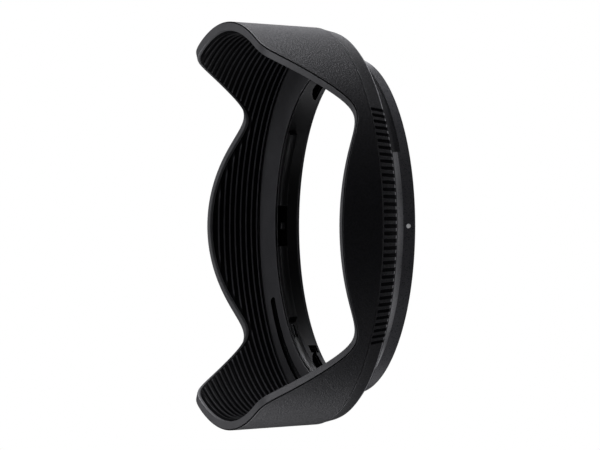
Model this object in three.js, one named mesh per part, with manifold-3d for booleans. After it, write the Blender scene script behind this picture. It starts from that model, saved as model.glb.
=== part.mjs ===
// Petal lens hood with a bayonet mount, for a wide-angle lens.
//
// Frame: millimetres, +Z up. The optical axis is Y and the petals point toward -Y.
// The origin is on the optical axis, in the plane of the mount ring's rear face.
// Depth "s" is the distance in front of that face, so y = -s.
// An angle is measured around the axis from +X (right side), and +Z (top) is at 90 degrees.

import * as THREE from 'three';
import { mergeVertices } from 'three/addons/utils/BufferGeometryUtils.js';
import Module from 'manifold-3d';

const wasm = await Module();
wasm.setup();

// ---------------------------------------------------------------- driving dimensions
const ROUND_SEGMENTS = 72;          // facets around a turned ring
const RIB_SEGMENTS = 48;            // facets around the ribbed wall
const RIM_SEGMENTS = 96;            // facets around a piece that follows the petal rim
const GAP = 0.15;                   // clearance between two fitted pieces

const MOUNT = { inner: 37.5, outer: 38.8, depth: 4.65, chamferDepth: 2.9, chamferRadius: 38.3 };
const NOTCH = { from: 25.5, to: 78, rear: 2.15, front: 3.95, floor: 38.05 };
const NOTCH_HEEL = { to: 38.8, front: 5.0 };         // where the notch runs on to the neck
const DOT = { depth: 1.68, radius: 0.5, sink: 0.45, proud: 0.02, clearance: 0.1 };

const GRIP = { rear: 6.85, front: 10.35, rearRadius: 44.95, frontRadius: 45.8, bore: 44.65 };
const GRIP_SEAT = { radius: 44.1, front: 8.2 };      // step that holds the baffle
const NECK = { rear: 4.8, front: 6.03, inner: 37.5, outer: 38.3 };
const KNURL = { count: 35, pitch: 2.065, width: 0.85, floorDepth: 0.28 };
const SHOULDER = { foot: 0.35, rise: 1.3, edgeBack: 0.35, edgeDrop: 0.5 };

const BAFFLE = { inner: 36.6, outer: 43.9, kneeRadius: 43.1, innerFront: 6.55, kneeFront: 8.05 };
const BAFFLE_THICKNESS = { inner: 0.3, knee: 0.62 };
const BAFFLE_EDGE_STEP = 0.05;
const RELIEF = { from: 25.3, to: 77, inner: 39.1, outer: 41.0, rear: 4, front: 9 };

const BAYONET = { rear: 0.9, front: 6.1, inner: 36.5, outer: 37.35 };
const RAIL = { from: 7.8, to: 38, rear: 4.0, front: 5.9, inner: 35.1 };
const WINDOW = { half: 7.5, rear: 3.5, front: 5.8, floor: 36.95 };
const NUB = { half: 1.3, rear: 4.2, front: 5.1, inner: 36.15 };
const ENTRY = { from: 56, to: 124, rear: 1.5, front: 3.75 };

const ARM = { free: 38.6, root: 76, rear: 4.25, front: 5.65, inner: 36.5, outer: 37.35 };
const ARM_SLOT = { from: 38.2, to: 76.3, rear: 4.1, front: 5.8 };
const ARM_CLEARANCE_RADIUS = 37.95;
const BUMP = { angle: 43, half: 2.8, rear: 4.6, front: 5.6, inner: 35.9 };
const OVERLAP = 0.1;                // how far a joined block reaches into its base
const REACH = 1;                    // how far a cutter stands out of what it cuts
const EDGE = 0.2;                   // small chamfer on the rings' edges

const SHELL = { rear: 10.5, rearRadius: 45.93, flare: 0.0513, thickness: 0.9 };
const LINER = { rear: 8.35, rearRadius: 44.45, ribCrest: 2.45, ribGroove: 1.85 };
const RIB = { first: 8.85, pitch: 1.345, count: 18, flank: 0.22, top: 0.2 };
const FLANGE = { depth: 1.3, width: 1.9, mitre: 0.85, setBack: 0.2, lipBevel: 0.18, lipSlope: 0.08 };
const BEYOND = { past: 5, inner: 38, outer: 52, overlap: 0.2 };   // the cutter past the rim
const LEDGE = 0.15;                 // how far the shell's edge lies behind the rim face

// The rim line: a side petal, a straight slope and a long top petal, blended smoothly.
const SIDE_PETAL = { height: 20.4, drop: 0.007 };
const SLOPE = { angle: 43, height: 18.2, rise: 0.82 };
const LONG_PETAL = 31.6;
const VALLEY_SOFTNESS = 0.29;
const SHOULDER_SOFTNESS = 0.75;

// ---------------------------------------------------------------- shape helpers
const radians = THREE.MathUtils.degToRad;

function quarterAngle(degrees) {
  const turned = ((degrees % 180) + 180) % 180;
  return Math.min(turned, 180 - turned);
}

function rimDepth(degrees) {
  const angle = quarterAngle(degrees);
  const side = SIDE_PETAL.height - SIDE_PETAL.drop * angle * angle;
  const slope = SLOPE.height + SLOPE.rise * (angle - SLOPE.angle);
  const higher = Math.max(side, slope);
  const valley = Math.log1p(Math.exp(-VALLEY_SOFTNESS * Math.abs(side - slope)));
  const rising = higher + valley / VALLEY_SOFTNESS;
  const lower = Math.min(rising, LONG_PETAL);
  const shoulder = Math.log1p(Math.exp(-SHOULDER_SOFTNESS * Math.abs(rising - LONG_PETAL)));
  return lower - shoulder / SHOULDER_SOFTNESS;
}

const shellRadius = (s) => SHELL.rearRadius + SHELL.flare * (s - SHELL.rear);

// A closed surface swept around the axis, whose outline may change with the angle.
function sweptRing(outlineAt, segments) {
  const corners = outlineAt(0).length;
  const positions = [];
  const index = [];
  for (let i = 0; i < segments; i += 1) {
    const degrees = (360 * i) / segments;
    const angle = radians(degrees);
    for (const [s, radius] of outlineAt(degrees)) {
      positions.push(radius * Math.cos(angle), -s, radius * Math.sin(angle));
    }
    const next = (i + 1) % segments;
    for (let j = 0; j < corners; j += 1) {
      const k = (j + 1) % corners;
      const a = i * corners + j;
      const b = i * corners + k;
      const c = next * corners + k;
      const d = next * corners + j;
      index.push(a, b, c, a, c, d);
    }
  }
  const geometry = new THREE.BufferGeometry();
  geometry.setAttribute('position', new THREE.Float32BufferAttribute(positions, 3));
  geometry.setIndex(index);
  return geometry;
}

// A turned ring from its cross-section, a list of [depth, radius] corners.
function turned(outline, segments = ROUND_SEGMENTS) {
  const points = outline.map(([s, radius]) => new THREE.Vector2(radius, -s));
  points.push(points[0].clone());
  return new THREE.LatheGeometry(points, segments);
}

// A block bounded by two radii, two angles and two depths.
function sector(inner, outer, from, to, rear, front) {
  const shape = new THREE.Shape();
  shape.absarc(0, 0, outer, radians(from), radians(to), false);
  shape.absarc(0, 0, inner, radians(to), radians(from), true);
  shape.closePath();
  const steps = Math.max(2, Math.ceil((to - from) / 4));
  const geometry = new THREE.ExtrudeGeometry(shape, {
    depth: front - rear,
    bevelEnabled: false,
    curveSegments: steps,
  });
  geometry.rotateX(Math.PI / 2);
  geometry.translate(0, -rear, 0);
  return geometry;
}

// A block standing on the ring at one angle, with parallel sides.
function radialBlock(inner, outer, degrees, width, rear, front) {
  const geometry = new THREE.BoxGeometry(outer - inner, front - rear, width);
  geometry.translate((inner + outer) / 2, -(rear + front) / 2, 0);
  geometry.rotateY(-radians(degrees));
  return geometry;
}

// ---------------------------------------------------------------- solids
function signedVolume(positions, index) {
  const corners = [new THREE.Vector3(), new THREE.Vector3(), new THREE.Vector3()];
  let volume = 0;
  for (let i = 0; i < index.length; i += 3) {
    corners.forEach((corner, j) => corner.fromArray(positions, index[i + j] * 3));
    volume += corners[0].dot(corners[1].clone().cross(corners[2])) / 6;
  }
  return volume;
}

function solid(geometry) {
  const bare = geometry.clone();
  bare.deleteAttribute('normal');
  bare.deleteAttribute('uv');
  const merged = mergeVertices(bare, 1e-4);
  const positions = Float32Array.from(merged.attributes.position.array);
  const source = Array.from(merged.index.array);
  const index = [];
  for (let i = 0; i < source.length; i += 3) {
    const [a, b, c] = source.slice(i, i + 3);
    if (a !== b && b !== c && c !== a) index.push(a, b, c);
  }
  if (signedVolume(positions, index) < 0) {
    for (let i = 0; i < index.length; i += 3) {
      [index[i + 1], index[i + 2]] = [index[i + 2], index[i + 1]];
    }
  }
  const triVerts = Uint32Array.from(index);
  return new wasm.Manifold(new wasm.Mesh({ numProp: 3, vertProperties: positions, triVerts }));
}

const joined = (base, geometries) => geometries.reduce((body, g) => body.add(solid(g)), base);
const cut = (base, geometries) => geometries.reduce((body, g) => body.subtract(solid(g)), base);

function geometryOf(body) {
  const mesh = body.getMesh();
  const geometry = new THREE.BufferGeometry();
  geometry.setAttribute('position', new THREE.Float32BufferAttribute(mesh.vertProperties, 3));
  geometry.setIndex(Array.from(mesh.triVerts));
  geometry.computeVertexNormals();
  return geometry;
}

const hood = new THREE.Group();

function addPart(name, body, { color, roughness, metalness = 0 }) {
  const material = new THREE.MeshStandardMaterial({ color, roughness, metalness });
  const mesh = new THREE.Mesh(geometryOf(body), material);
  mesh.name = name;
  hood.add(mesh);
}

const PAINT = { color: 0x1d1d1f, roughness: 0.7 };
const PLASTIC = { color: 0x141416, roughness: 0.55 };
const FLAT_BLACK = { color: 0x0c0c0d, roughness: 0.85 };
const WHITE_PAINT = { color: 0xe8e8e6, roughness: 0.5 };

const BOTH_SIDES = [0, 180];

// ---------------------------------------------------------------- petal shell
function shellOutline(degrees) {
  const rim = rimDepth(degrees) - LEDGE;
  const radius = shellRadius(rim);
  return [
    [SHELL.rear, shellRadius(SHELL.rear) - SHELL.thickness],
    [SHELL.rear, shellRadius(SHELL.rear) - GAP],
    [SHELL.rear + GAP, shellRadius(SHELL.rear + GAP)],
    [rim, radius],
    [rim - SHELL.thickness, radius - SHELL.thickness],
  ];
}

function outerShell() {
  return solid(sweptRing(shellOutline, RIM_SEGMENTS));
}

// ---------------------------------------------------------------- ribbed liner with rim flange
function linerWall() {
  const last = LONG_PETAL + RIB.pitch;
  const wallRadius = (s) => shellRadius(s) - SHELL.thickness - GAP;
  const outline = [
    [last, wallRadius(last)],
    [SHELL.rear + GAP, wallRadius(SHELL.rear)],
    [GRIP.front - GAP, LINER.rearRadius],
    [LINER.rear, LINER.rearRadius],
    [LINER.rear, shellRadius(LINER.rear) - LINER.ribCrest],
  ];
  for (let i = 0; i < RIB.count; i += 1) {
    const crest = RIB.first + RIB.pitch * i;
    const front = crest + RIB.flank;
    const next = crest + RIB.pitch - RIB.top;
    outline.push([crest, shellRadius(crest) - LINER.ribCrest]);
    outline.push([front, shellRadius(front) - LINER.ribGroove]);
    outline.push([next - RIB.flank, shellRadius(next) - LINER.ribGroove]);
    outline.push([next, shellRadius(next) - LINER.ribCrest]);
  }
  outline.push([last, shellRadius(last) - LINER.ribCrest]);
  return solid(turned(outline, RIB_SEGMENTS));
}

function beyondRimOutline(degrees) {
  const start = rimDepth(degrees) - FLANGE.depth + BEYOND.overlap;
  const end = LONG_PETAL + BEYOND.past;
  const { inner, outer } = BEYOND;
  return [[start, inner], [start, outer], [end, outer], [end, inner]];
}

function flangeOutline(degrees) {
  const rim = rimDepth(degrees);
  const radius = shellRadius(rim);
  const wall = radius - FLANGE.setBack - FLANGE.mitre;
  const lip = radius - FLANGE.setBack - FLANGE.width;
  return [
    [rim, radius - FLANGE.setBack],
    [rim - FLANGE.mitre, wall],
    [rim - FLANGE.depth, wall],
    [rim - FLANGE.depth, lip],
    [rim - FLANGE.lipSlope - FLANGE.lipBevel, lip],
    [rim - FLANGE.lipSlope, lip + FLANGE.lipBevel],
  ];
}

function lightTrapLiner() {
  const wall = linerWall().subtract(solid(sweptRing(beyondRimOutline, RIM_SEGMENTS)));
  return wall.add(solid(sweptRing(flangeOutline, RIM_SEGMENTS)));
}

// ---------------------------------------------------------------- smooth throat baffle
function throatBaffle() {
  const edgeFront = BAFFLE.kneeFront + BAFFLE_EDGE_STEP;
  const ring = solid(turned([
    [BAFFLE.innerFront, BAFFLE.inner],
    [BAFFLE.kneeFront, BAFFLE.kneeRadius],
    [edgeFront, BAFFLE.outer],
    [edgeFront - BAFFLE_THICKNESS.knee, BAFFLE.outer],
    [BAFFLE.kneeFront - BAFFLE_THICKNESS.knee, BAFFLE.kneeRadius],
    [BAFFLE.innerFront - BAFFLE_THICKNESS.inner, BAFFLE.inner],
  ]));
  return cut(ring, reliefSlots());
}

// Curved relief slots beside the click arms, with round ends.
function reliefSlots() {
  const middle = (RELIEF.inner + RELIEF.outer) / 2;
  const halfWidth = (RELIEF.outer - RELIEF.inner) / 2;
  const endAngle = THREE.MathUtils.radToDeg(halfWidth / middle);
  const slots = [];
  for (const side of BOTH_SIDES) {
    const from = RELIEF.from + endAngle + side;
    const to = RELIEF.to - endAngle + side;
    slots.push(sector(RELIEF.inner, RELIEF.outer, from, to, RELIEF.rear, RELIEF.front));
    for (const degrees of [from, to]) {
      const end = new THREE.CylinderGeometry(halfWidth, halfWidth, RELIEF.front - RELIEF.rear, 12);
      end.translate(middle, -(RELIEF.front + RELIEF.rear) / 2, 0);
      end.rotateY(-radians(degrees));
      slots.push(end);
    }
  }
  return slots;
}

// ---------------------------------------------------------------- grip body with knurled sides
function gripGrooves() {
  const first = -((KNURL.count - 1) / 2) * KNURL.pitch;
  const grooves = [];
  const middle = (GRIP.rear + GRIP.front) / 2;
  const lean = Math.atan2(GRIP.frontRadius - GRIP.rearRadius, GRIP.front - GRIP.rear);
  const radius = (GRIP.rearRadius + GRIP.frontRadius) / 2;
  const length = GRIP.front - GRIP.rear + REACH;
  for (const side of BOTH_SIDES) {
    for (let i = 0; i < KNURL.count; i += 1) {
      const groove = new THREE.BoxGeometry(2 * REACH, length, KNURL.width);
      groove.translate(REACH - KNURL.floorDepth, 0, 0);
      groove.rotateZ(lean);
      groove.translate(radius, -middle, 0);
      groove.rotateY(-radians(side + first + KNURL.pitch * i));
      grooves.push(groove);
    }
  }
  return grooves;
}

function gripBody() {
  const clear = BAFFLE_THICKNESS.knee + GAP;
  const ring = solid(turned([
    [NECK.rear, NECK.inner],
    [NECK.rear, NECK.outer],
    [NECK.rear + SHOULDER.foot, NECK.outer + SHOULDER.rise],
    [GRIP.rear - SHOULDER.edgeBack, GRIP.rearRadius - SHOULDER.edgeDrop],
    [GRIP.rear, GRIP.rearRadius],
    [GRIP.front, GRIP.frontRadius],
    [GRIP.front, GRIP.bore],
    [GRIP_SEAT.front, GRIP.bore],
    [GRIP_SEAT.front, GRIP_SEAT.radius],
    [BAFFLE.kneeFront + BAFFLE_EDGE_STEP - clear, GRIP_SEAT.radius],
    [BAFFLE.kneeFront - clear, BAFFLE.kneeRadius],
    [NECK.front, NECK.inner],
  ]));
  return cut(cut(cut(ring, gripGrooves()), reliefSlots()), armClearances());
}

// Room behind each click arm for its travel.
function armClearances() {
  return BOTH_SIDES.map((side) => sector(
    NECK.inner - REACH,
    ARM_CLEARANCE_RADIUS,
    ARM_SLOT.from + side,
    ARM_SLOT.to + side,
    ARM_SLOT.rear - GAP,
    ARM_SLOT.front,
  ));
}

// ---------------------------------------------------------------- mount ring
function mountRing() {
  const ring = solid(turned([
    [0, MOUNT.inner],
    [0, MOUNT.outer - EDGE],
    [EDGE, MOUNT.outer],
    [MOUNT.chamferDepth, MOUNT.outer],
    [MOUNT.depth, MOUNT.chamferRadius],
    [MOUNT.depth, MOUNT.inner],
  ]));
  const notchPart = (from, to, front) => sector(
    NOTCH.floor,
    MOUNT.outer + REACH,
    from,
    to,
    NOTCH.rear,
    front,
  );
  const notches = BOTH_SIDES.flatMap((side) => [
    notchPart(side + NOTCH.from, side + NOTCH.to, NOTCH.front),
    notchPart(side + NOTCH.from, side + NOTCH_HEEL.to, NOTCH_HEEL.front),
  ]);
  const dotHole = indexDisc(DOT.radius + DOT.clearance, DOT.sink + DOT.clearance, REACH);
  return cut(cut(cut(ring, notches), armClearances()), [dotHole]);
}

function indexDisc(radius, sink, proud) {
  const disc = new THREE.CylinderGeometry(radius, radius, sink + proud, 16);
  disc.rotateZ(Math.PI / 2);
  disc.translate(MOUNT.outer + (proud - sink) / 2, -DOT.depth, 0);
  return disc;
}

// ---------------------------------------------------------------- bayonet ring
function bayonetRing() {
  const ring = solid(turned([
    [BAYONET.rear, BAYONET.inner],
    [BAYONET.rear, BAYONET.outer],
    [BAYONET.front, BAYONET.outer],
    [BAYONET.front, BAYONET.inner + EDGE],
    [BAYONET.front - EDGE, BAYONET.inner],
  ]));
  const rails = [];
  const openings = [];
  const nubs = [];
  for (const side of BOTH_SIDES) {
    const railRoot = BAYONET.inner + OVERLAP;
    rails.push(sector(RAIL.inner, railRoot, side + RAIL.from, side + RAIL.to, RAIL.rear, RAIL.front));
    rails.push(sector(RAIL.inner, railRoot, side - RAIL.to, side - RAIL.from, RAIL.rear, RAIL.front));
    openings.push(sector(
      BAYONET.inner - REACH,
      WINDOW.floor,
      side - WINDOW.half,
      side + WINDOW.half,
      WINDOW.rear,
      WINDOW.front,
    ));
    openings.push(sector(
      BAYONET.inner - REACH,
      BAYONET.outer + REACH,
      side + ARM_SLOT.from,
      side + ARM_SLOT.to,
      ARM_SLOT.rear,
      ARM_SLOT.front,
    ));
    openings.push(sector(
      BAYONET.inner - REACH,
      BAYONET.outer + REACH,
      side + ENTRY.from,
      side + ENTRY.to,
      ENTRY.rear,
      ENTRY.front,
    ));
    nubs.push(sector(
      NUB.inner,
      WINDOW.floor + OVERLAP,
      side - NUB.half,
      side + NUB.half,
      NUB.rear,
      NUB.front,
    ));
  }
  return joined(cut(joined(ring, rails), openings), nubs);
}

// ---------------------------------------------------------------- click arms
function clickArm(side) {
  const arm = solid(sector(
    ARM.inner,
    ARM.outer,
    side + ARM.free,
    side + ARM.root,
    ARM.rear,
    ARM.front,
  ));
  const width = 2 * ARM.inner * Math.sin(radians(BUMP.half));
  const bump = radialBlock(
    BUMP.inner,
    ARM.inner + OVERLAP,
    side + BUMP.angle,
    width,
    BUMP.rear,
    BUMP.front,
  );
  return arm.add(solid(bump));
}

addPart('outer_shell', outerShell(), PAINT);
addPart('light_trap_liner', lightTrapLiner(), FLAT_BLACK);
addPart('throat_baffle', throatBaffle(), FLAT_BLACK);
addPart('grip_body', gripBody(), PLASTIC);
addPart('mount_ring', mountRing(), PAINT);
addPart('bayonet_ring', bayonetRing(), PLASTIC);
addPart('index_dot', solid(indexDisc(DOT.radius, DOT.sink, DOT.proud)), WHITE_PAINT);
addPart('click_arm_right', clickArm(BOTH_SIDES[0]), PLASTIC);
addPart('click_arm_left', clickArm(BOTH_SIDES[1]), PLASTIC);

export default hood;
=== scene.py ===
"""A petal lens hood in black plastic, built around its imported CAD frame.

Lengths in the outlines below are millimetres. An outline is a list of [s, radius] corners, where
s is the distance in front of the mount ring's rear face, so y = -s. Angles are degrees around the
optical axis from +X, with the top at 90. Meshes are made in metres, as the frame is.
"""

import math

import bmesh
import bpy
from mathutils import Matrix, Vector


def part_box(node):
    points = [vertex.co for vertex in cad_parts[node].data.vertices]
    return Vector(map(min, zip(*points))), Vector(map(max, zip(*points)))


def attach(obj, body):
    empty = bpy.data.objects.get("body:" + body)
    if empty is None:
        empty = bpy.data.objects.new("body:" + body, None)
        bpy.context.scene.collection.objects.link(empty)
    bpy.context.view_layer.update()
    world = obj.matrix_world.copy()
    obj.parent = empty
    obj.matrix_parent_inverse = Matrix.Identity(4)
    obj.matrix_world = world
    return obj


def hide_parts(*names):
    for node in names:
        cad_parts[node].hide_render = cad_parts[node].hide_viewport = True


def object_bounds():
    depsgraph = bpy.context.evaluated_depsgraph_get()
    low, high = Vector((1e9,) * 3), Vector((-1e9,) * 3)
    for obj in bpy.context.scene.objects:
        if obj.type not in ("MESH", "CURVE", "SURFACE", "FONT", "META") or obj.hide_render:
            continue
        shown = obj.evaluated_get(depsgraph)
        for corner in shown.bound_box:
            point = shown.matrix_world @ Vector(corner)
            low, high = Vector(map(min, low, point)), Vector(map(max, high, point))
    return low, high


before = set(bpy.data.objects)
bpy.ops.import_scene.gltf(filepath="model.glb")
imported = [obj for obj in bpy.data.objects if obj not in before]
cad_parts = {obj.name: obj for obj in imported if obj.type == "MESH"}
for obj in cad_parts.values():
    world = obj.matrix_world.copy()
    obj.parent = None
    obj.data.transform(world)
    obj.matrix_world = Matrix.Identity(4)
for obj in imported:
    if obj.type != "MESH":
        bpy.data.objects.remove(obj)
CAD_BOUNDS = [list(corner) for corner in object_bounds()]

MM = 0.001
BOTH_SIDES = (0, 180)

# ------------------------------------------------------------------ sizes read from the frame


def depths(node):
    """The lowest and highest s of a CAD node, in millimetres."""
    low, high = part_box(node)
    return -high.y / MM, -low.y / MM


def radius_of(node):
    """The outer radius of a round CAD node, in millimetres."""
    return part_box(node)[1].x / MM


RING_RADIUS = radius_of("mount_ring")
RING_FRONT = depths("mount_ring")[1]
NECK_LENGTH = 2.05
GRIP_REAR = depths("grip_body")[0] + NECK_LENGTH
GRIP_FRONT = depths("grip_body")[1]
SHELL_REAR = depths("outer_shell")[0]
LINER_REAR, LONG_PETAL = depths("light_trap_liner")

# ------------------------------------------------------------------ driving dimensions
ROUND_STEPS = 480                 # steps around a plain ring
PETAL_STEPS = 720                 # steps around the petals
DISC_STEPS = 48
SECTOR_STEP, FINE_STEP = 0.75, 0.3
REACH, SHORT_REACH = 1, 0.5       # how far a cutter stands out of what it cuts
OVERLAP = 0.1                     # how far a joined block reaches into its base
MERGE_DISTANCE = 0.002
BEVEL_ANGLE = 35
FILLET_STEPS, FILLET_SUPPORT = 4, 0.12
FILLET_REACH, SUPPORT_ROOM = 0.45, 2.5   # shares of a side that a fillet takes, and needs

SHELL_REAR_RADIUS = 45.93
SHELL_FLARE = 0.0513
SHELL_THICKNESS = 0.9
LEDGE = 0.15
FIT_GAP = 0.15

RIM_SET_BACK = 0.2
RIM_MITRE = 0.85
RIM_THICKNESS = 2.1
RIM_BORDER = 0.75
RIM_DEPTH = 1.4
RIM_LEAN = 0.04                   # how far the rim face leans back toward its lip
RIM_TUCK = 0.2                    # how far the rim hides behind the ribbed wall
LINER_CLEARANCE = 0.3
GRIP_CLEARANCE = 0.2
LIP_STEP = 0.15
RIB_FADE = 0.9
RIB_HEIGHT = 0.7
RIB_FIRST, RIB_PITCH, RIB_COUNT = 8.85, 1.345, 17
RIB_TOP, RIB_FRONT_FLANK, RIB_REAR_FLANK = 0.28, 0.1, 0.2
RIB_CORNER = 0.05
RIB_REAR_SHARE, RIB_FRONT_SHARE = 0.86, 0.88

SIDE_PETAL_HEIGHT, SIDE_PETAL_DROP = 20.4, 0.007
SLOPE_ANGLE, SLOPE_HEIGHT, SLOPE_RISE = 43, 18.2, 0.82
VALLEY_SOFTNESS, SHOULDER_SOFTNESS = 0.29, 0.75

GRIP_REAR_RADIUS, GRIP_FRONT_RADIUS = 44.95, 45.8
GRIP_BORE = 44.65
GRIP_EDGE_ROUND, GRIP_FRONT_EDGE = 0.25, 0.05
SHOULDER_FOOT, SHOULDER_RISE = 0.35, 1.3
SHOULDER_EDGE_BACK, SHOULDER_EDGE_DROP = 0.35, 0.5
KNURL_COUNT, KNURL_PITCH, KNURL_DEPTH = 35, 2.065, 0.36
KNURL_HALF, KNURL_SOFTNESS = 0.28, 0.08      # half a groove and its shoulder, in pitches
KNURL_END, KNURL_RUN_OUT = 0.1, 0.12         # where the grooves end behind the grip's front
KNURL_STEPS, PLAIN_STEPS = 16, 120
BAND_SUPPORT, FLOOR_SUPPORT = 0.6, 0.3       # extra points on the grip's band
FLOOR_BREAK, CREASE_BREAK = 0.03, 0.02       # soft corners of the grooves' front ends
CLEARANCE_REACH = 0.6
NECK_REAR, NECK_FRONT, NECK_INNER, NECK_OUTER = 4.8, 6.03, 37.5, 38.3
SEAT_RADIUS, SEAT_FRONT = 44.1, 8.2

BAFFLE_INNER, BAFFLE_OUTER, BAFFLE_KNEE = 36.6, 43.9, 43.1
BAFFLE_INNER_FRONT, BAFFLE_KNEE_FRONT = 6.55, 8.05
BAFFLE_THICKNESS, BAFFLE_EDGE_THICKNESS, BAFFLE_EDGE_STEP = 0.62, 0.3, 0.05
RELIEF_FROM, RELIEF_TO, RELIEF_INNER, RELIEF_OUTER = 25.3, 77, 39.1, 41.0
RELIEF_REAR, RELIEF_FRONT = 4, 9

MOUNT_INNER = 37.5
CHAMFER_DEPTH, CHAMFER_RADIUS = 2.9, 38.3
NOTCH_FROM, NOTCH_TO, NOTCH_REAR, NOTCH_FRONT, NOTCH_FLOOR = 25.5, 78, 2.15, 3.95, 38.05
NOTCH_HEEL_TO, NOTCH_HEEL_FRONT = 38.8, 5.0
DOT_DEPTH, DOT_RADIUS, DOT_SINK, DOT_CLEARANCE = 1.68, 0.5, 0.45, 0.1
DOT_PROUD, DOT_EDGE = 0.02, 0.05

BAYONET_REAR, BAYONET_FRONT, BAYONET_INNER, BAYONET_OUTER = 0.9, 6.1, 36.5, 37.35
RAIL_FROM, RAIL_TO, RAIL_REAR, RAIL_FRONT, RAIL_INNER = 7.8, 38, 4.0, 5.9, 35.1
RAIL_EDGE, NUB_EDGE, ARM_EDGE, BUMP_EDGE = 0.15, 0.12, 0.1, 0.12
WINDOW_HALF, WINDOW_REAR, WINDOW_FRONT, WINDOW_FLOOR = 7.5, 3.5, 5.8, 36.95
NUB_HALF, NUB_REAR, NUB_FRONT, NUB_INNER = 1.3, 4.2, 5.1, 36.15
ENTRY_FROM, ENTRY_TO, ENTRY_REAR, ENTRY_FRONT, ENTRY_FLOOR = 54.5, 125.5, 1.75, 3.95, 37.85
ENTRY_TAPER, ENTRY_TIP = 7.0, 0.15
ENTRY_HEAD_FROM, ENTRY_HEAD_TO, ENTRY_HEAD_REAR, ENTRY_HEAD_FRONT = 50.6, 55, 1.05, 3.0
ARM_SLOT_FROM, ARM_SLOT_TO, ARM_SLOT_REAR, ARM_SLOT_FRONT = 38.2, 76.3, 4.1, 5.8
ARM_FREE, ARM_ROOT, ARM_REAR, ARM_FRONT = 38.35, 76, 4.14, 5.76
ARM_CLEARANCE_RADIUS = 37.95
BUMP_ANGLE, BUMP_HALF, BUMP_REAR, BUMP_FRONT, BUMP_INNER = 43, 2.8, 4.75, 5.74, 35.9
BUMP_WALL, BUMP_END_WALL, BUMP_OPEN_END, BUMP_ROOT = 0.27, 0.6, 0.5, 0.2

CAMERA_AZIMUTH = 70
CAMERA_DISTANCE = 1.080
CAMERA_ASIDE = 0.01266
CAMERA_RAISE = 0.00023
FOCAL_LENGTH = 279.0
CLIP_START = 0.05

AMBIENT = 0.001
LIGHT_TINT = (1.0, 1.0, 1.045)
AIM_SHARE = 0.4                   # how far the lights aim from the rear face to the tips

# Looks: grain sizes, reliefs and margins in millimetres, colours as linear red, green and blue.
PAINT_GRAIN, PAINT_CLOUD, PAINT_RELIEF = 0.45, 9.0, 0.085
PAINT_ROUGH, PAINT_SMOOTH = 0.54, 0.38
PAINT_GLOSS, GRIP_GLOSS, GROOVE_GLOSS = 0.3, 0.45, 0.08
WORN_PAINT, CLOUD_TONE = (0.05, 0.05, 0.053), (0.006, 0.006, 0.007)
CLOUD_SHARE = 0.2
WORN_FROM, WORN_TO = 0.52, 0.60   # edge sharpness where the wear starts and is full
# Painted shade in the grip's grooves, and a painted highlight on its rear edge
GROOVE_SHADE_TONE, LIP_HIGHLIGHT_TONE = (0.002, 0.002, 0.0028), (0.62, 0.62, 0.64)
GROOVE_FROM, GROOVE_TO, GROOVE_LIMIT = 0.2, 0.7, 1.5   # shares of the groove depth
# Extent of the painted highlight on the grip's rear edge
LIP_FULL, LIP_WIDTH, LIP_DROP, LIP_BREAK = 0.1, 0.28, 0.3, 0.6
# Margins of the painted shade in the relief slots
SLOT_MARGIN, SLOT_REACH = 0.3, 0.4
SLOT_WALL_FROM, SLOT_WALL_TO = -0.1, -0.3
PLASTIC_GRAIN, PLASTIC_FLOW, PLASTIC_RELIEF = 0.35, 4.0, 0.012
ROUGH_SPREAD = 0.06
# Painted highlight on the ring's chamfer, and painted shade in recesses
CHAMFER_HIGHLIGHT_TONE, RECESS_SHADE_TONE = (0.19, 0.19, 0.195), (0.001, 0.001, 0.0012)
# Painted shade in the grooves between the liner's ribs, deepening toward the petal tips
RIB_GROOVE_SHARE, RIB_CREST_FROM = 0.94, 0.62
TIP_SHARE, TIP_FROM, TIP_TO = 0.74, 12.0, 25.0         # ribs fade toward the petal tips
# Extents of the painted shade in the mount ring's recesses
FLOOR_MARGIN, EDGE_MARGIN = 0.1, 0.05
NOTCH_SHADE_SHARE = 0.62
# Depth band of the painted shade in the bayonet ring's cuts
WALL_FROM, WALL_TO = 0.03, 0.12
# Run of the painted highlight on the ring's chamfer
CHAMFER_HIGHLIGHT_RUN = 1.2

# Softboxes: name, elevation, azimuth, distance, width and height in metres, power in watts.
# The choice of lights and their powers began as a least-squares fit to the photo's brightness.
# Eleven of the nineteen powers were then changed.
SOFTBOXES = (
    ("front_high", 25, 270, 0.6, 0.25, 0.25, 0.70),
    ("front_low", -25, 270, 0.6, 0.25, 0.25, 0.89),
    ("front_left", 0, 210, 0.8, 0.3, 0.5, 0.36),
    ("camera_side", 0, 345, 0.8, 0.08, 0.5, 0.50),
    ("camera_side_high", 40, 345, 0.6, 0.25, 0.25, 0.29),
    ("camera_side_low", -40, 345, 0.6, 0.25, 0.25, 0.19),
    ("back", 0, 90, 0.8, 0.3, 0.5, 1.2),
    ("back_high", 45, 90, 0.6, 0.25, 0.25, 0.06),
    ("top", 80, 180, 0.6, 0.25, 0.25, 1.35),
    ("top_left", 60, 180, 0.6, 0.25, 0.25, 1.85),
    ("top_front_left", 75, 225, 0.6, 0.25, 0.25, 0.14),
    ("top_front", 50, 270, 0.6, 0.25, 0.25, 0.46),
    ("top_right", 60, 0, 0.6, 0.25, 0.25, 0.08),
    ("rim_high", 25, 150, 0.6, 0.25, 0.25, 0.26),
    ("rim_low", -50, 150, 0.6, 0.25, 0.25, 0.05),
    ("bottom", -80, 180, 0.6, 0.25, 0.25, 0.52),
    ("bottom_left", -60, 180, 0.6, 0.25, 0.25, 1.08),
    ("bottom_front", -50, 270, 0.6, 0.25, 0.25, 0.06),
    ("bottom_right", -60, 0, 0.6, 0.25, 0.25, 0.40),
)

# ------------------------------------------------------------------ shape helpers


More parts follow.
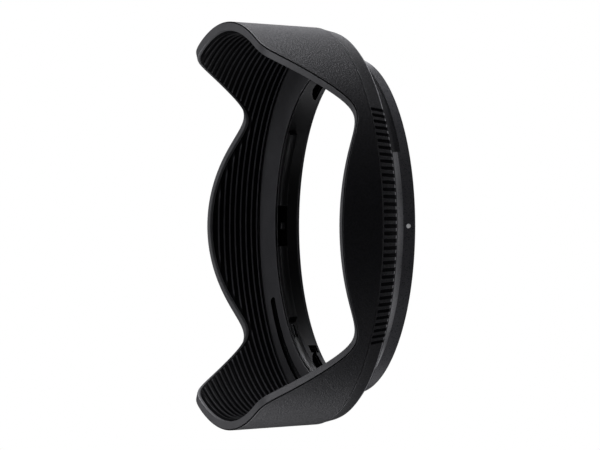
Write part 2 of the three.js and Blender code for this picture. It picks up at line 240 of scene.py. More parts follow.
def rim_depth(degrees):
    """Height of the petal rim at an angle: a side petal, a slope and a long petal, blended."""
    angle = degrees % 180
    angle = min(angle, 180 - angle)
    side = SIDE_PETAL_HEIGHT - SIDE_PETAL_DROP * angle * angle
    slope = SLOPE_HEIGHT + SLOPE_RISE * (angle - SLOPE_ANGLE)
    valley = math.log1p(math.exp(-VALLEY_SOFTNESS * abs(side - slope)))
    rising = max(side, slope) + valley / VALLEY_SOFTNESS
    shoulder = math.log1p(math.exp(-SHOULDER_SOFTNESS * abs(rising - LONG_PETAL)))
    return min(rising, LONG_PETAL) - shoulder / SHOULDER_SOFTNESS


def shell_radius(s):
    return SHELL_REAR_RADIUS + SHELL_FLARE * (s - SHELL_REAR)


def smoothstep(value):
    value = min(1.0, max(0.0, value))
    return value * value * (3 - 2 * value)


def rounded(corners):
    """An outline whose corners, given as [s, radius, fillet], are arcs with support points."""
    points = []
    count = len(corners)
    for i, (s, r, fillet) in enumerate(corners):
        here = Vector((s, r))
        if fillet <= 0:
            points.append([s, r])
            continue
        before = Vector(corners[i - 1][:2]) - here
        after = Vector(corners[(i + 1) % count][:2]) - here
        to_before, to_after = before.normalized(), after.normalized()
        half = to_before.angle(to_after) / 2
        shorter = FILLET_REACH * min(before.length, after.length)
        reach = min(fillet / math.tan(half), shorter)
        room = SUPPORT_ROOM * (reach + FILLET_SUPPORT)
        start, end = here + to_before * reach, here + to_after * reach
        if before.length > room:
            points.append(list(start + to_before * FILLET_SUPPORT))
        for k in range(FILLET_STEPS + 1):
            t = k / FILLET_STEPS
            point = start.lerp(here, t).lerp(here.lerp(end, t), t)
            points.append(list(point))
        if after.length > room:
            points.append(list(end + to_after * FILLET_SUPPORT))
    return points


def new_object(name, mesh):
    made = bpy.data.objects.new(name, mesh)
    bpy.context.scene.collection.objects.link(made)
    return made


def clean_mesh(obj):
    """Merges doubled points, drops empty faces and points every face outward."""
    merge = MERGE_DISTANCE * MM
    bm = bmesh.new()
    bm.from_mesh(obj.data)
    bmesh.ops.remove_doubles(bm, verts=bm.verts, dist=merge)
    bmesh.ops.dissolve_degenerate(bm, edges=bm.edges, dist=merge / 4)
    bmesh.ops.recalc_face_normals(bm, faces=bm.faces)
    bm.to_mesh(obj.data)
    bm.free()


def smooth(obj, sharp_degrees):
    """Smooth shading that keeps the edges sharper than an angle."""
    mesh = obj.data
    mesh.polygons.foreach_set("use_smooth", [True] * len(mesh.polygons))
    mesh.set_sharp_from_angle(angle=math.radians(sharp_degrees))


def swept(name, outline_at, angles):
    """A closed ring whose outline may change with the angle."""
    points = []
    faces = []
    corners = 0
    for degrees in angles:
        outline = outline_at(degrees)
        corners = len(outline)
        angle = math.radians(degrees)
        for s, r in outline:
            points.append((r * math.cos(angle) * MM, -s * MM, r * math.sin(angle) * MM))
    for i in range(len(angles)):
        here, there = i * corners, (i + 1) % len(angles) * corners
        for j in range(corners):
            k = (j + 1) % corners
            faces.append((here + j, here + k, there + k, there + j))
    mesh = bpy.data.meshes.new(name)
    mesh.from_pydata(points, [], faces)
    obj = new_object(name, mesh)
    clean_mesh(obj)
    return obj


def even_angles(steps):
    return [360 * i / steps for i in range(steps)]


def turned(name, corners):
    outline = rounded(corners)
    return swept(name, lambda degrees: outline, even_angles(ROUND_STEPS))


def sector(name, inner, outer, start, end, rear, front, step=SECTOR_STEP):
    """A block between two radii, angles and depths; front may be a function of the angle."""
    count = max(2, round((end - start) / step))
    points = []
    for i in range(count + 1):
        degrees = start + (end - start) * i / count
        angle = math.radians(degrees)
        face = front(degrees) if callable(front) else front
        for s, r in ((rear, inner), (rear, outer), (face, outer), (face, inner)):
            points.append((r * math.cos(angle) * MM, -s * MM, r * math.sin(angle) * MM))
    faces = [(0, 1, 2, 3), tuple(4 * count + j for j in (3, 2, 1, 0))]
    for i in range(count):
        for j in range(4):
            k = (j + 1) % 4
            faces.append((4 * i + j, 4 * i + k, 4 * i + 4 + k, 4 * i + 4 + j))
    mesh = bpy.data.meshes.new(name)
    mesh.from_pydata(points, [], faces)
    obj = new_object(name, mesh)
    clean_mesh(obj)
    return obj


def disc(name, radius, low, high, degrees, place, radial=True):
    """A round block at an angle: radial from radius low to high, or along the axis.

    The place is the depth s of a radial block, and the radius of one that lies along the axis.
    """
    bm = bmesh.new()
    bmesh.ops.create_cone(
        bm, cap_ends=True, segments=DISC_STEPS, radius1=radius * MM, radius2=radius * MM,
        depth=(high - low) * MM,
    )
    mesh = bpy.data.meshes.new(name)
    bm.to_mesh(mesh)
    bm.free()
    if radial:
        mesh.transform(Matrix.Rotation(math.radians(90), 4, "Y"))
        mesh.transform(Matrix.Translation(((low + high) / 2 * MM, -place * MM, 0)))
    else:
        mesh.transform(Matrix.Rotation(math.radians(90), 4, "X"))
        mesh.transform(Matrix.Translation((place * MM, -(low + high) / 2 * MM, 0)))
    mesh.transform(Matrix.Rotation(-math.radians(degrees), 4, "Y"))
    return new_object(name, mesh)


def combine(obj, others, operation):
    """Joins or cuts closed meshes and removes the tools."""
    for other in others:
        modifier = obj.modifiers.new("combine", "BOOLEAN")
        modifier.operation = operation
        modifier.solver = "MANIFOLD"
        modifier.object = other
    apply_modifiers(obj)
    for other in others:
        bpy.data.objects.remove(other)


def apply_modifiers(obj):
    bpy.context.view_layer.update()
    evaluated = obj.evaluated_get(bpy.context.evaluated_depsgraph_get())
    mesh = bpy.data.meshes.new_from_object(evaluated)
    obj.modifiers.clear()
    obj.data = mesh


def bevelled(obj, width, segments=2):
    """Small bevels on the sharp edges."""
    modifier = obj.modifiers.new("edges", "BEVEL")
    modifier.width = width * MM
    modifier.segments = segments
    modifier.limit_method = "ANGLE"
    modifier.angle_limit = math.radians(BEVEL_ANGLE)
    modifier.use_clamp_overlap = True
    apply_modifiers(obj)


def finish_piece(obj, node, body, material, sharp_degrees=32):
    """Shades a piece, gives it its material, parents it to its body and hides the CAD node it
    replaces.
    """
    smooth(obj, sharp_degrees)
    obj.data.materials.clear()
    obj.data.materials.append(material)
    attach(obj, body)
    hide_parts(node)


# ------------------------------------------------------------------ materials


class Shader:
    """A node material with a Principled shader and object-space coordinates."""

    def __init__(self, name):
        self.material = bpy.data.materials.new(name)
        self.material.use_nodes = True
        self.tree = self.material.node_tree
        self.surface = self.tree.nodes["Principled BSDF"]
        self.place = self.tree.nodes.new("ShaderNodeTexCoord")

    def link(self, source, target):
        self.tree.links.new(source, target)

    def noise(self, size, detail=2.0, roughness=0.5, stretch=None):
        """Noise whose blobs are about size millimetres across."""
        node = self.tree.nodes.new("ShaderNodeTexNoise")
        node.inputs["Scale"].default_value = 1 / (size * MM)
        node.inputs["Detail"].default_value = detail
        node.inputs["Roughness"].default_value = roughness
        if stretch:
            mapping = self.tree.nodes.new("ShaderNodeMapping")
            mapping.inputs["Scale"].default_value = stretch
            self.link(self.place.outputs["Object"], mapping.inputs["Vector"])
            self.link(mapping.outputs["Vector"], node.inputs["Vector"])
        else:
            self.link(self.place.outputs["Object"], node.inputs["Vector"])
        return node.outputs["Fac"]

    def spread(self, source, low, high, start=0.3, end=0.7):
        """Maps a texture value from start..end to low..high."""
        node = self.tree.nodes.new("ShaderNodeMapRange")
        node.inputs["From Min"].default_value = start
        node.inputs["From Max"].default_value = end
        node.inputs["To Min"].default_value = low
        node.inputs["To Max"].default_value = high
        self.link(source, node.inputs["Value"])
        return node.outputs["Result"]

    def mix_colors(self, factor, first, second):
        node = self.tree.nodes.new("ShaderNodeMix")
        node.data_type = "RGBA"
        self.link(factor, node.inputs["Factor"])
        for socket, value in ((node.inputs[6], first), (node.inputs[7], second)):
            if isinstance(value, bpy.types.NodeSocket):
                self.link(value, socket)
            else:
                socket.default_value = (*value, 1.0)
        return node.outputs[2]

    def edges(self, low, high):
        """The convex edges of the mesh, from 0 on flat ground to 1."""
        geometry = self.tree.nodes.new("ShaderNodeNewGeometry")
        return self.spread(geometry.outputs["Pointiness"], 0.0, 1.0, low, high)

    def math(self, operation, *values):
        node = self.tree.nodes.new("ShaderNodeMath")
        node.operation = operation
        for socket, value in zip(node.inputs, values):
            if isinstance(value, bpy.types.NodeSocket):
                self.link(value, socket)
            else:
                socket.default_value = value
        return node.outputs[0]

    def around_axis(self):
        """The distance s along the optical axis and the radius around it, in millimetres."""
        parts = self.tree.nodes.new("ShaderNodeSeparateXYZ")
        self.link(self.place.outputs["Object"], parts.inputs[0])
        x, y, z = parts.outputs
        across = self.math("MULTIPLY", x, x)
        radius = self.math("SQRT", self.math("MULTIPLY_ADD", z, z, across))
        return self.math("MULTIPLY", y, -1 / MM), self.math("MULTIPLY", radius, 1 / MM)

    def inside_cone(self, s_start, radius_start, slope):
        """How far a point lies inside a cone about the optical axis, in millimetres."""
        s, radius = self.around_axis()
        cone = self.math("MULTIPLY_ADD", s, slope, radius_start - slope * s_start)
        return self.math("SUBTRACT", cone, radius)

    def bump(self, height, strength, distance):
        node = self.tree.nodes.new("ShaderNodeBump")
        node.inputs["Strength"].default_value = strength
        node.inputs["Distance"].default_value = distance * MM
        self.link(height, node.inputs["Height"])
        return node.outputs["Normal"]

    def set(self, color=None, roughness=None, normal=None, specular=None):
        values = {
            "Base Color": color, "Roughness": roughness, "Normal": normal,
            "Specular IOR Level": specular,
        }
        for name, value in values.items():
            if isinstance(value, bpy.types.NodeSocket):
                self.link(value, self.surface.inputs[name])
            elif value is not None:
                self.surface.inputs[name].default_value = value
        return self.material


def textured_paint(name, dark, pale, finish=None):
    """Fine-grained matte black paint, a little paler on its edges."""
    shader = Shader(name)
    grain = shader.noise(PAINT_GRAIN, detail=3.0, roughness=0.65)
    cloud = shader.noise(PAINT_CLOUD, detail=2.0)
    fine = shader.spread(grain, 0.0, 1.0, 0.40, 0.62)
    base = shader.mix_colors(fine, dark, pale)
    wear_and_highlight = shader.mix_colors(shader.edges(WORN_FROM, WORN_TO), base, WORN_PAINT)
    tone = shader.mix_colors(shader.spread(cloud, 0.0, CLOUD_SHARE), wear_and_highlight, CLOUD_TONE)
    gloss = PAINT_GLOSS
    if finish:
        tone, gloss = finish(shader, tone)
    roughness = shader.spread(grain, PAINT_ROUGH, PAINT_SMOOTH)
    relief = shader.bump(grain, 1.0, PAINT_RELIEF)
    return shader.set(tone, roughness, relief, gloss)


def grip_shade_and_highlight(shader, tone):
    """The tone and gloss of the grip: painted shade, black and less glossy, in the grooves and
    relief slots, and a painted highlight along its rear edge.
    """
    s, radius = shader.around_axis()
    slope = (GRIP_FRONT_RADIUS - GRIP_REAR_RADIUS) / (GRIP_FRONT - GRIP_REAR)
    depth = shader.inside_cone(GRIP_REAR, GRIP_REAR_RADIUS, slope)
    # Painted shade: the grooves and relief slots are darkened and lose gloss, standing in for the
    # shade in them.
    groove = shader.spread(
        depth, 0.0, 1.0, GROOVE_FROM * KNURL_DEPTH, GROOVE_TO * KNURL_DEPTH,
    )
    near = shader.math("LESS_THAN", depth, GROOVE_LIMIT * KNURL_DEPTH)
    ahead = shader.math("GREATER_THAN", s, GRIP_REAR)
    shade_mask = shader.math("MULTIPLY", groove, shader.math("MULTIPLY", near, ahead))
    slots = slot_band(shader, s, radius, NECK_FRONT - SLOT_REACH)
    shade_mask = shader.math("MAXIMUM", shade_mask, slots)
    gloss = shader.spread(shade_mask, GRIP_GLOSS, GROOVE_GLOSS, 0.0, 1.0)
    tone = shader.mix_colors(shade_mask, tone, GROOVE_SHADE_TONE)
    # Painted highlight: a pale strip along the grip's rear edge, where its bevel would catch the
    # back light.
    lip = shader.spread(s, 1.0, 0.0, GRIP_REAR + LIP_FULL, GRIP_REAR + LIP_WIDTH)
    outside = shader.math("GREATER_THAN", radius, GRIP_REAR_RADIUS - LIP_DROP)
    edge = shader.math("MULTIPLY", lip, outside)
    edge = shader.math("MULTIPLY", edge, shader.spread(shade_mask, 1.0, 0.0, 0.0, LIP_BREAK))
    return shader.mix_colors(edge, tone, LIP_HIGHLIGHT_TONE), gloss


def slot_band(shader, s, radius, rear):
    """1 at the radii of the relief slots, in front of a depth."""
    outside = shader.math("GREATER_THAN", radius, RELIEF_INNER - SLOT_MARGIN)
    inside = shader.math("LESS_THAN", radius, RELIEF_OUTER + SLOT_MARGIN)
    ahead = shader.math("GREATER_THAN", s, rear)
    return shader.math("MULTIPLY", ahead, shader.math("MULTIPLY", outside, inside))


def moulded_black(
    name, dark, pale, roughness, specular=0.5, relief_depth=PLASTIC_RELIEF, shade_mask=None,
    wear_and_highlight=None,
):
    """Black plastic with flow marks and fine grain, with an optional mask of painted shade,
    darker and without gloss, and an optional mask of painted highlight.
    """
    shader = Shader(name)
    grain = shader.noise(PLASTIC_GRAIN, detail=3.0, roughness=0.6)
    flow = shader.noise(PLASTIC_FLOW, detail=2.0, stretch=(1.0, 3.0, 1.0))
    tone = shader.mix_colors(shader.spread(flow, 0.0, 1.0), dark, pale)
    # Painted highlight: a paler tone where the mask is set.
    if wear_and_highlight:
        tone = shader.mix_colors(wear_and_highlight(shader), tone, CHAMFER_HIGHLIGHT_TONE)
    # Painted shade: a darker tone and no gloss where the mask is set.
    if shade_mask:
        depth = shade_mask(shader)
        tone = shader.mix_colors(depth, tone, RECESS_SHADE_TONE)
        specular = shader.spread(depth, specular, 0.0, 0.0, 1.0)
    rough = shader.spread(grain, roughness + ROUGH_SPREAD, roughness - ROUGH_SPREAD)
    relief = shader.bump(grain, 0.4, relief_depth)
    return shader.set(tone, rough, relief, specular)


def rib_groove_shade(shader):
    """Painted shade: near 1 in the grooves between the ribs, and 0 on the crests, rising toward
    the tips.
    """
    height = shader.inside_cone(SHELL_REAR, SHELL_REAR_RADIUS - RIM_THICKNESS, SHELL_FLARE)
    crest = RIB_CREST_FROM * RIB_HEIGHT
    groove = shader.spread(height, RIB_GROOVE_SHARE, 0.0, crest, RIB_HEIGHT)
    toward_tip = shader.spread(shader.around_axis()[0], 0.0, TIP_SHARE, TIP_FROM, TIP_TO)
    return shader.math("MAXIMUM", groove, toward_tip)


def slot_wall_shade(shader):
    """Painted shade: 1 on the walls of the relief slots, behind the front face of the throat
    cone.
    """
    slope = (BAFFLE_KNEE - BAFFLE_INNER) / (BAFFLE_KNEE_FRONT - BAFFLE_INNER_FRONT)
    depth = shader.inside_cone(BAFFLE_INNER_FRONT, BAFFLE_INNER, slope)
    behind = shader.spread(depth, 1.0, 0.0, SLOT_WALL_TO, SLOT_WALL_FROM)
    s, radius = shader.around_axis()
    return shader.math("MULTIPLY", behind, slot_band(shader, s, radius, 0.0))


def ring_recess_shade(shader):
    """Painted shade: 1 on the floor of the entry pockets and a share of it on the floor of the
    notches.
    """
    s, radius = shader.around_axis()
    low = shader.math("LESS_THAN", radius, NOTCH_FLOOR + FLOOR_MARGIN)
    ahead = shader.math("GREATER_THAN", s, NOTCH_REAR - EDGE_MARGIN)
    notch = shader.math("MULTIPLY", shader.math("MULTIPLY", low, ahead), NOTCH_SHADE_SHARE)
    pocket = shader.math("LESS_THAN", radius, ENTRY_FLOOR + FLOOR_MARGIN)
    clear = shader.math("GREATER_THAN", radius, MOUNT_INNER + EDGE_MARGIN)
    return shader.math("MAXIMUM", notch, shader.math("MULTIPLY", pocket, clear))


def inner_recess_shade(shader):
    """Painted shade: 1 on the walls and floors cut into the bayonet ring."""
    radius = shader.around_axis()[1]
    return shader.spread(radius, 0.0, 1.0, BAYONET_INNER + WALL_FROM, BAYONET_INNER + WALL_TO)


def chamfer_highlight(shader):
    """Painted highlight: rises from 0 at the rear of the ring's chamfer to 1 near its front."""
    s = shader.around_axis()[0]
    start = CHAMFER_DEPTH - EDGE_MARGIN
    return shader.spread(s, 0.0, 1.0, start, CHAMFER_DEPTH + CHAMFER_HIGHLIGHT_RUN)


def white_index():
    """Filled white paint, slightly uneven."""
    shader = Shader("index_paint")
    patch = shader.noise(0.3, detail=3.0)
    share = shader.spread(patch, 0.0, 1.0)
    color = shader.mix_colors(share, (0.92, 0.92, 0.90), (0.97, 0.97, 0.96))
    relief = shader.bump(patch, 0.3, 0.01)
    return shader.set(color, shader.spread(patch, 0.42, 0.58), relief, 0.4)


PAINT = textured_paint("textured_paint", (0.001, 0.001, 0.0018), (0.008, 0.008, 0.010))
GRIP_PAINT = textured_paint(
    "grip_paint", (0.008, 0.008, 0.009), (0.026, 0.026, 0.028), grip_shade_and_highlight,
)
RIB_BLACK = moulded_black(
    "rib_black", (0.030, 0.030, 0.034), (0.040, 0.040, 0.044), roughness=0.5, specular=0.35,
    shade_mask=rib_groove_shade,
)
# The rim is part of the ribbed liner. Its paler black is painted light, standing in for the light
# on its face.
RIM_BLACK_LIT = moulded_black(
    "rim_black_lit", (0.042, 0.042, 0.044), (0.056, 0.056, 0.058), roughness=0.48,
)
THROAT_BLACK = moulded_black(
    "throat_black", (0.026, 0.026, 0.028), (0.032, 0.032, 0.034), roughness=0.5,
    shade_mask=slot_wall_shade,
)
RING_PLASTIC = moulded_black(
    "ring_plastic", (0.040, 0.040, 0.044), (0.050, 0.050, 0.054), roughness=0.30,
    relief_depth=0.005, shade_mask=ring_recess_shade, wear_and_highlight=chamfer_highlight,
)
INNER_PLASTIC = moulded_black(
    "inner_plastic", (0.001, 0.001, 0.0015), (0.002, 0.002, 0.0025), roughness=0.36,
    shade_mask=inner_recess_shade,
)
INDEX_PAINT = white_index()

# ------------------------------------------------------------------ petal shell


def shell_outline(degrees):
    rim = rim_depth(degrees) - LEDGE
    rear = shell_radius(SHELL_REAR)
    front = shell_radius(rim)
    edge = front - SHELL_THICKNESS
    return rounded([
        [SHELL_REAR, rear - SHELL_THICKNESS, 0.08],
        [SHELL_REAR, rear, 0.14],
        [rim, front, 0.10],
        [rim - SHELL_THICKNESS, edge, 0.06],
    ])


def outer_shell():
    obj = swept("petal_shell", shell_outline, even_angles(PETAL_STEPS))
    finish_piece(obj, "outer_shell", "hood", PAINT, 40)


# ------------------------------------------------------------------ ribbed liner and rim


def rib_profile():
    """Corners of the ribs as (s, height share), from the rear to the tip of the long petals."""
    half = RIB_TOP / 2
    offsets = (
        (-half - RIB_REAR_FLANK, 0.0),
        (-half - RIB_CORNER, RIB_REAR_SHARE),
        (-half + RIB_CORNER, 1.0),
        (half - RIB_CORNER, 1.0),
        (half, RIB_FRONT_SHARE),
        (half + RIB_FRONT_FLANK, 0.0),
    )
    corners = []
    for i in range(RIB_COUNT):
        middle = RIB_FIRST + RIB_PITCH * i
        corners += [(middle + offset, share) for offset, share in offsets]
    return corners


RIBS = rib_profile()


def rim_outline(degrees):
    """The flat rim that closes the petals, with soft edges."""
    rim = rim_depth(degrees)
    front = shell_radius(rim)
    wall = front - RIM_SET_BACK - RIM_MITRE
    lip = front - RIM_THICKNESS
    return rounded([
        [rim - RIM_DEPTH, wall - EDGE_MARGIN, 0.0],
        [rim - RIM_MITRE, wall, 0.0],
        [rim, front - RIM_SET_BACK, 0.09],
        [rim - RIM_LEAN, lip, 0.16],
        [rim - RIM_BORDER, lip - RIM_LEAN / 2, 0.0],
        [rim - RIM_DEPTH, lip + RIM_TUCK, 0.0],
    ])


def liner_outline(degrees):
    """The ribbed wall, from the grip to just behind the rim face."""
    rim = rim_depth(degrees)
    last = rim - RIM_BORDER
    front_wall = shell_radius(last) - SHELL_THICKNESS - FIT_GAP - LINER_CLEARANCE
    wall_rear = shell_radius(SHELL_REAR) - SHELL_THICKNESS - FIT_GAP
    lip = shell_radius(last) - RIM_THICKNESS
    outline = [
        [LINER_REAR, shell_radius(LINER_REAR) - RIM_THICKNESS - LINER_CLEARANCE],
        [LINER_REAR, GRIP_BORE - GRIP_CLEARANCE],
        [GRIP_FRONT - FIT_GAP, GRIP_BORE - GRIP_CLEARANCE],
        [SHELL_REAR + FIT_GAP, wall_rear],
        [last, front_wall],
        [last, lip + LIP_STEP],
    ]
    for s, share in reversed(RIBS):
        at = min(s, last)
        fade = smoothstep((last - at) / RIB_FADE)
        height = RIB_HEIGHT * share * fade
        outline.append([at, shell_radius(at) - RIM_THICKNESS - height])
    return outline


def light_trap_liner():
    liner = swept("ribbed_liner", liner_outline, even_angles(PETAL_STEPS))
    finish_piece(liner, "light_trap_liner", "hood", RIB_BLACK, 28)
    rim = swept("petal_rim", rim_outline, even_angles(PETAL_STEPS))
    finish_piece(rim, "light_trap_liner", "hood", RIM_BLACK_LIT, 40)


# ------------------------------------------------------------------ throat baffle


def relief_cutters():
    """The curved relief slots beside the click arms, with round ends."""
    middle = (RELIEF_INNER + RELIEF_OUTER) / 2
    half = (RELIEF_OUTER - RELIEF_INNER) / 2
    end_angle = math.degrees(half / middle)
    cutters = []
    for side in BOTH_SIDES:
        start, end = side + RELIEF_FROM + end_angle, side + RELIEF_TO - end_angle
        slot = sector(
            "slot", RELIEF_INNER, RELIEF_OUTER, start, end, RELIEF_REAR, RELIEF_FRONT,
        )
        ends = [
            disc("slot_end", half, RELIEF_REAR, RELIEF_FRONT, at, middle, radial=False)
            for at in (start, end)
        ]
        combine(slot, ends, "UNION")
        cutters.append(slot)
    return cutters


def throat_baffle():
    edge = BAFFLE_KNEE_FRONT + BAFFLE_EDGE_STEP
    back = BAFFLE_THICKNESS
    obj = turned("throat_cone", [
        [BAFFLE_INNER_FRONT, BAFFLE_INNER, 0.12],
        [BAFFLE_KNEE_FRONT, BAFFLE_KNEE, 0.3],
        [edge, BAFFLE_OUTER, 0.08],
        [edge - back, BAFFLE_OUTER, 0.05],
        [BAFFLE_KNEE_FRONT - back, BAFFLE_KNEE, 0.0],
        [BAFFLE_INNER_FRONT - BAFFLE_EDGE_THICKNESS, BAFFLE_INNER, 0.05],
    ])
    combine(obj, relief_cutters(), "DIFFERENCE")
    finish_piece(obj, "throat_baffle", "hood", THROAT_BLACK)


# ------------------------------------------------------------------ knurled grip body


def knurl_shape(degrees):
    """Depth share of the grip grooves at an angle, 0 on a rib and 1 on a groove's floor."""
    angle = (degrees + 90) % 180 - 90
    edge = KNURL_COUNT / 2 * KNURL_PITCH
    if abs(angle) > edge:
        return 0.0
    phase = (angle / KNURL_PITCH) % 1.0
    from_middle = min(phase, 1.0 - phase)
    return smoothstep((KNURL_HALF - from_middle) / KNURL_SOFTNESS)


def grip_angles():
    """Angles that crowd where the grooves are."""
    edge = KNURL_COUNT / 2 * KNURL_PITCH
    gap = 180 - 2 * edge
    fine_count = KNURL_COUNT * KNURL_STEPS
    angles = []
    for side in BOTH_SIDES:
        angles += [side - edge + 2 * edge * i / fine_count for i in range(fine_count)]
        angles += [side + edge + gap * i / PLAIN_STEPS for i in range(PLAIN_STEPS)]
    return angles


def grip_outline(degrees):
    """The grip's seats and neck, then its band from rear to front, lowered in the grooves."""
    depth = KNURL_DEPTH * knurl_shape(degrees)
    clear = BAFFLE_THICKNESS + FIT_GAP
    slope = (GRIP_FRONT_RADIUS - GRIP_REAR_RADIUS) / (GRIP_FRONT - GRIP_REAR)
    crease = GRIP_FRONT - KNURL_END
    floor_end = crease - KNURL_RUN_OUT

    def band(s, lowered=0.0):
        return [s, GRIP_REAR_RADIUS + slope * (s - GRIP_REAR) - lowered]

    outline = rounded([
        [GRIP_FRONT, GRIP_BORE, 0.0],
        [SEAT_FRONT, GRIP_BORE, 0.0],
        [SEAT_FRONT, SEAT_RADIUS, 0.0],
        [BAFFLE_KNEE_FRONT - clear + OVERLAP, SEAT_RADIUS, 0.0],
        [BAFFLE_KNEE_FRONT - clear, BAFFLE_KNEE, 0.0],
        [NECK_FRONT, NECK_INNER, 0.0],
        [NECK_REAR, NECK_INNER, 0.0],
        [NECK_REAR, NECK_OUTER, 0.08],
        [NECK_REAR + SHOULDER_FOOT, NECK_OUTER + SHOULDER_RISE, 0.4],
        [GRIP_REAR - SHOULDER_EDGE_BACK, GRIP_REAR_RADIUS - SHOULDER_EDGE_DROP, 0.25],
    ])
    for share in (0.0, 0.3, 0.6, 1.0):
        turn = math.radians(90 * share)
        s = GRIP_REAR + GRIP_EDGE_ROUND * (1 - math.cos(turn))
        r = GRIP_REAR_RADIUS - GRIP_EDGE_ROUND * (1 - math.sin(turn)) - depth
        outline.append([s, r])
    for s in (GRIP_REAR + BAND_SUPPORT, floor_end - FLOOR_SUPPORT, floor_end):
        outline.append(band(s, depth))
    outline.append([floor_end + FLOOR_BREAK, band(floor_end, 0.9 * depth)[1]])
    outline.append([crease - CREASE_BREAK, band(crease, 0.1 * depth)[1]])
    outline.append(band(crease))
    outline.append(band(GRIP_FRONT - GRIP_FRONT_EDGE))
    outline.append(band(GRIP_FRONT, GRIP_FRONT_EDGE))
    return outline


def grip_body():
    obj = swept("knurled_grip", grip_outline, grip_angles())
    combine(obj, relief_cutters() + arm_clearances(), "DIFFERENCE")
    finish_piece(obj, "grip_body", "hood", GRIP_PAINT, 30)


def arm_clearances():
    """Room behind each click arm for its travel."""
    return [
        sector(
            "clearance", NECK_INNER - CLEARANCE_REACH, ARM_CLEARANCE_RADIUS, side + ARM_SLOT_FROM,
            side + ARM_SLOT_TO, ARM_SLOT_REAR - FIT_GAP, ARM_SLOT_FRONT,
        )
        for side in BOTH_SIDES
    ]


# ------------------------------------------------------------------ mount ring and index dot


def entry_front(degrees):
    """Depth of an entry pocket's front wall, which falls away toward both ends."""
    angle = degrees % 180
    from_end = min(angle - ENTRY_FROM, ENTRY_TO - angle)
    share = min(1.0, max(0.0, from_end / ENTRY_TAPER))
    tip = ENTRY_REAR + ENTRY_TIP
    return tip + (ENTRY_FRONT - tip) * math.sqrt(share)


def entry_pockets(floor):
    """The gaps where the lens bayonet enters, with pointed ends and a side step."""
    inner = BAYONET_INNER - REACH
    pockets = []
    for side in BOTH_SIDES:
        pocket = sector(
            "entry", inner, floor, side + ENTRY_FROM, side + ENTRY_TO, ENTRY_REAR, entry_front,
        )
        head = sector(
            "entry_head", inner, floor, side + ENTRY_HEAD_FROM, side + ENTRY_HEAD_TO,
            ENTRY_HEAD_REAR, ENTRY_HEAD_FRONT,
        )
        combine(pocket, [head], "UNION")
        pockets.append(pocket)
    return pockets


def mount_ring():
    obj = turned("mount_ring_body", [
        [0, MOUNT_INNER, 0.1],
        [0, RING_RADIUS, 0.2],
        [CHAMFER_DEPTH, RING_RADIUS, 0.12],
        [RING_FRONT, CHAMFER_RADIUS, 0.1],
        [RING_FRONT, MOUNT_INNER, 0.0],
    ])
    cutters = []
    for side in BOTH_SIDES:
        for end, front in ((NOTCH_TO, NOTCH_FRONT), (NOTCH_HEEL_TO, NOTCH_HEEL_FRONT)):
            cutters.append(sector(
                "notch", NOTCH_FLOOR, RING_RADIUS + REACH, side + NOTCH_FROM, side + end,
                NOTCH_REAR, front,
            ))
    hole = DOT_RADIUS + DOT_CLEARANCE / 2
    bottom = RING_RADIUS - DOT_SINK - DOT_CLEARANCE
    cutters.append(disc("dot_hole", hole, bottom, RING_RADIUS + REACH, 0, DOT_DEPTH))
    cutters += entry_pockets(ENTRY_FLOOR)
    combine(obj, cutters + arm_clearances(), "DIFFERENCE")
    finish_piece(obj, "mount_ring", "hood", RING_PLASTIC)


def index_dot():
    low, high = RING_RADIUS - DOT_SINK, RING_RADIUS + DOT_PROUD
    obj = disc("index_dot_fill", DOT_RADIUS, low, high, 0, DOT_DEPTH)
    bevelled(obj, DOT_EDGE, 3)
    finish_piece(obj, "index_dot", "hood", INDEX_PAINT)


# ------------------------------------------------------------------ bayonet ring


def bayonet_ring():
    obj = turned("bayonet_ring_body", [
        [BAYONET_REAR, BAYONET_INNER, 0.12],
        [BAYONET_REAR, BAYONET_OUTER, 0.08],
        [BAYONET_FRONT, BAYONET_OUTER, 0.08],
        [BAYONET_FRONT, BAYONET_INNER, 0.2],
    ])
    rails = []
    cutters = []
    nubs = []
    for side in BOTH_SIDES:
        for start, end in ((RAIL_FROM, RAIL_TO), (-RAIL_TO, -RAIL_FROM)):
            rail = sector(
                "rail", RAIL_INNER, BAYONET_INNER + OVERLAP, side + start, side + end,
                RAIL_REAR, RAIL_FRONT,
            )
            bevelled(rail, RAIL_EDGE)
            rails.append(rail)
        cutters.append(sector(
            "window", BAYONET_INNER - SHORT_REACH, WINDOW_FLOOR, side - WINDOW_HALF,
            side + WINDOW_HALF, WINDOW_REAR, WINDOW_FRONT,
        ))
        cutters.append(sector(
            "arm_slot", BAYONET_INNER - REACH, BAYONET_OUTER + REACH, side + ARM_SLOT_FROM,
            side + ARM_SLOT_TO, ARM_SLOT_REAR, ARM_SLOT_FRONT,
        ))
        nub = sector(
            "nub", NUB_INNER, WINDOW_FLOOR + OVERLAP, side - NUB_HALF, side + NUB_HALF,
            NUB_REAR, NUB_FRONT, FINE_STEP,
        )
        bevelled(nub, NUB_EDGE)
        nubs.append(nub)
    combine(obj, rails, "UNION")
    combine(obj, cutters + entry_pockets(BAYONET_OUTER + REACH), "DIFFERENCE")
    combine(obj, nubs, "UNION")
    finish_piece(obj, "bayonet_ring", "hood", INNER_PLASTIC)


# ------------------------------------------------------------------ click arms


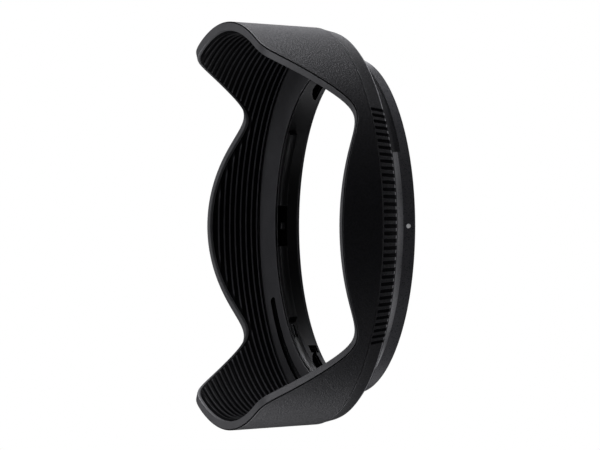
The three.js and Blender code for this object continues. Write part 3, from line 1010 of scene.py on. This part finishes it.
def click_arm(side, name):
    """A springy tongue with a loop-shaped bump that clicks over the lens bayonet."""
    obj = sector(
        name + "_tongue", BAYONET_INNER, BAYONET_OUTER, side + ARM_FREE, side + ARM_ROOT,
        ARM_REAR, ARM_FRONT,
    )
    start, end = side + BUMP_ANGLE - BUMP_HALF, side + BUMP_ANGLE + BUMP_HALF
    bump = sector(
        "bump", BUMP_INNER, BAYONET_INNER + BUMP_ROOT, start, end, BUMP_REAR, BUMP_FRONT,
        FINE_STEP,
    )
    bevelled(bump, BUMP_EDGE)
    pocket = sector(
        "pocket", BUMP_INNER - SHORT_REACH, BAYONET_INNER, start + BUMP_END_WALL,
        end + BUMP_OPEN_END, BUMP_REAR + BUMP_WALL, BUMP_FRONT - BUMP_WALL, FINE_STEP,
    )
    combine(bump, [pocket], "DIFFERENCE")
    bevelled(obj, ARM_EDGE)
    combine(obj, [bump], "UNION")
    finish_piece(obj, name, name, INNER_PLASTIC)


# ------------------------------------------------------------------ stage, lights and camera


def world_light():
    """White behind everything, and only a dim even light on the object."""
    world = bpy.data.worlds.new("studio")
    bpy.context.scene.world = world
    world.use_nodes = True
    nodes, links = world.node_tree.nodes, world.node_tree.links
    dim = nodes["Background"]
    dim.inputs["Color"].default_value = (1, 1, 1, 1)
    dim.inputs["Strength"].default_value = AMBIENT
    white = nodes.new("ShaderNodeBackground")
    white.inputs["Color"].default_value = (1, 1, 1, 1)
    white.inputs["Strength"].default_value = 1.0
    path = nodes.new("ShaderNodeLightPath")
    mix = nodes.new("ShaderNodeMixShader")
    links.new(path.outputs["Is Camera Ray"], mix.inputs["Fac"])
    links.new(dim.outputs[0], mix.inputs[1])
    links.new(white.outputs[0], mix.inputs[2])
    links.new(mix.outputs[0], nodes["World Output"].inputs["Surface"])


def softbox(name, elevation, azimuth, distance, width, height, power):
    """An area light in a direction from the hood, aimed at its middle."""
    light = bpy.data.lights.new(name, "AREA")
    light.shape = "RECTANGLE"
    light.size, light.size_y = width, height
    light.energy = power
    light.color = LIGHT_TINT
    made = bpy.data.objects.new(name, light)
    bpy.context.scene.collection.objects.link(made)
    rise, turn = math.radians(elevation), math.radians(azimuth)
    direction = Vector((
        math.cos(rise) * math.cos(turn),
        math.cos(rise) * math.sin(turn),
        math.sin(rise),
    ))
    middle = Vector((0, CAD_BOUNDS[0][1] * AIM_SHARE, 0))
    made.location = middle + direction * distance
    made.rotation_euler = (-direction).to_track_quat("-Z", "Y").to_euler()


def lights():
    for light in SOFTBOXES:
        softbox(*light)


def camera():
    azimuth = math.radians(CAMERA_AZIMUTH)
    right = Vector((math.cos(azimuth), math.sin(azimuth), 0))
    back = Vector((math.sin(azimuth), -math.cos(azimuth), 0))
    data = bpy.data.cameras.new("camera")
    data.lens = FOCAL_LENGTH
    data.clip_start = CLIP_START
    made = bpy.data.objects.new("camera", data)
    bpy.context.scene.collection.objects.link(made)
    up = Vector((0, 0, 1))
    made.matrix_world = Matrix.Translation(
        back * CAMERA_DISTANCE - right * CAMERA_ASIDE + up * CAMERA_RAISE
    ) @ Matrix((right, up, back)).transposed().to_4x4()
    bpy.context.scene.camera = made


camera()
world_light()
lights()
bpy.context.scene.view_settings.view_transform = "Standard"

outer_shell()
light_trap_liner()
throat_baffle()
grip_body()
mount_ring()
index_dot()
bayonet_ring()
click_arm(BOTH_SIDES[0], "click_arm_right")
click_arm(BOTH_SIDES[1], "click_arm_left")
